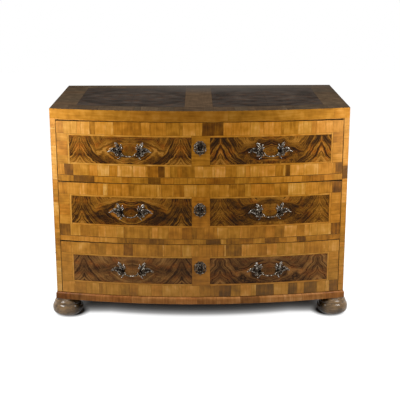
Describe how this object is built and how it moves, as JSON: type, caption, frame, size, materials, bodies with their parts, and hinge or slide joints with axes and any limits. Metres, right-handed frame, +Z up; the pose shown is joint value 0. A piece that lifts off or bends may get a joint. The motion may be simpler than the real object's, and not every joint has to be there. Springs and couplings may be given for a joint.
{
  "type": "bow-fronted commode",
  "caption": "Low chest on turned bun feet with a bowed front, wide locking drawers, leaf-mounted drop handles and keyhole plates.",
  "frame": {"origin": "on the floor, at the middle of the bounding box in plan", "axes": "+Z up; the drawers open towards -Y; +X to the right for someone facing the front"},
  "size_m": [1.1962, 0.6664, 0.85],
  "materials": {
    "walnut": "figured walnut veneer with light crossbands, satin polish",
    "dark_walnut": "dark walnut veneer, soft sheen",
    "stained_wood": "turned wood, dark stain, glossy polish",
    "pine": "plain planed pine",
    "iron": "forged and filed iron",
    "dark_bronze": "cast brass with a dark patina, worn bright on the high spots"
  },
  "bodies": {
    "carcase": {"top_board": "dark_walnut", "side_panel_left": "walnut", "side_panel_right": "walnut", "bottom_board": "pine", "back_board_upper": "pine", "back_board_lower": "pine", "top_rail": "walnut", "divider_rail_upper": "walnut", "divider_rail_lower": "walnut", "dust_board_upper": "pine", "dust_board_lower": "pine", "plinth_front": "walnut", "plinth_left": "walnut", "plinth_right": "walnut", "foot_front_left": "stained_wood", "foot_front_right": "stained_wood", "foot_back_left": "stained_wood", "foot_back_right": "stained_wood"},
    "drawer_lower": {"drawer_lower_front": "walnut", "drawer_lower_side_left": "pine", "drawer_lower_side_right": "pine", "drawer_lower_back": "pine", "drawer_lower_bottom": "pine", "lock_case_lower": "iron", "keyhole_plate_lower": "dark_bronze", "handle_lower_left_left_mount": "dark_bronze", "handle_lower_left_right_mount": "dark_bronze", "handle_lower_right_left_mount": "dark_bronze", "handle_lower_right_right_mount": "dark_bronze"},
    "drawer_middle": {"drawer_middle_front": "walnut", "drawer_middle_side_left": "pine", "drawer_middle_side_right": "pine", "drawer_middle_back": "pine", "drawer_middle_bottom": "pine", "lock_case_middle": "iron", "keyhole_plate_middle": "dark_bronze", "handle_middle_left_left_mount": "dark_bronze", "handle_middle_left_right_mount": "dark_bronze", "handle_middle_right_left_mount": "dark_bronze", "handle_middle_right_right_mount": "dark_bronze"},
    "drawer_upper": {"drawer_upper_front": "walnut", "drawer_upper_side_left": "pine", "drawer_upper_side_right": "pine", "drawer_upper_back": "pine", "drawer_upper_bottom": "pine", "lock_case_upper": "iron", "keyhole_plate_upper": "dark_bronze", "handle_upper_left_left_mount": "dark_bronze", "handle_upper_left_right_mount": "dark_bronze", "handle_upper_right_left_mount": "dark_bronze", "handle_upper_right_right_mount": "dark_bronze"},
    "bail_lower_left": {"handle_lower_left_bail": "dark_bronze"},
    "bail_lower_right": {"handle_lower_right_bail": "dark_bronze"},
    "bail_middle_left": {"handle_middle_left_bail": "dark_bronze"},
    "bail_middle_right": {"handle_middle_right_bail": "dark_bronze"},
    "bail_upper_left": {"handle_upper_left_bail": "dark_bronze"},
    "bail_upper_right": {"handle_upper_right_bail": "dark_bronze"},
    "bolt_lower": {"lock_bolt_lower": "iron"},
    "bolt_middle": {"lock_bolt_middle": "iron"},
    "bolt_upper": {"lock_bolt_upper": "iron"}
  },
  "joints": [
    {"name": "drawer_lower_slide", "type": "slide", "parent": "carcase", "child": "drawer_lower", "axis": [0, -1, 0], "range_m": [0, 0.4]},
    {"name": "drawer_middle_slide", "type": "slide", "parent": "carcase", "child": "drawer_middle", "axis": [0, -1, 0], "range_m": [0, 0.4]},
    {"name": "drawer_upper_slide", "type": "slide", "parent": "carcase", "child": "drawer_upper", "axis": [0, -1, 0], "range_m": [0, 0.4]},
    {"name": "bail_lower_left_swing", "type": "hinge", "parent": "drawer_lower", "child": "bail_lower_left", "pos_m": [-0.27093, -0.32183, 0.2091], "axis": [-0.9933, 0.1154, 0], "range_deg": [-40, 100]},
    {"name": "bail_lower_right_swing", "type": "hinge", "parent": "drawer_lower", "child": "bail_lower_right", "pos_m": [0.27093, -0.32183, 0.2091], "axis": [-0.9933, -0.1154, 0], "range_deg": [-40, 100]},
    {"name": "bail_middle_left_swing", "type": "hinge", "parent": "drawer_middle", "child": "bail_middle_left", "pos_m": [-0.27093, -0.32183, 0.4486], "axis": [-0.9933, 0.1154, 0], "range_deg": [-40, 100]},
    {"name": "bail_middle_right_swing", "type": "hinge", "parent": "drawer_middle", "child": "bail_middle_right", "pos_m": [0.27093, -0.32183, 0.4486], "axis": [-0.9933, -0.1154, 0], "range_deg": [-40, 100]},
    {"name": "bail_upper_left_swing", "type": "hinge", "parent": "drawer_upper", "child": "bail_upper_left", "pos_m": [-0.27093, -0.32183, 0.6891], "axis": [-0.9933, 0.1154, 0], "range_deg": [-40, 100]},
    {"name": "bail_upper_right_swing", "type": "hinge", "parent": "drawer_upper", "child": "bail_upper_right", "pos_m": [0.27093, -0.32183, 0.6891], "axis": [-0.9933, -0.1154, 0], "range_deg": [-40, 100]},
    {"name": "bolt_lower_throw", "type": "slide", "parent": "drawer_lower", "child": "bolt_lower", "axis": [0, 0, 1], "range_m": [0, 0.009]},
    {"name": "bolt_middle_throw", "type": "slide", "parent": "drawer_middle", "child": "bolt_middle", "axis": [0, 0, 1], "range_m": [0, 0.009]},
    {"name": "bolt_upper_throw", "type": "slide", "parent": "drawer_upper", "child": "bolt_upper", "axis": [0, 0, 1], "range_m": [0, 0.009]}
  ]
}
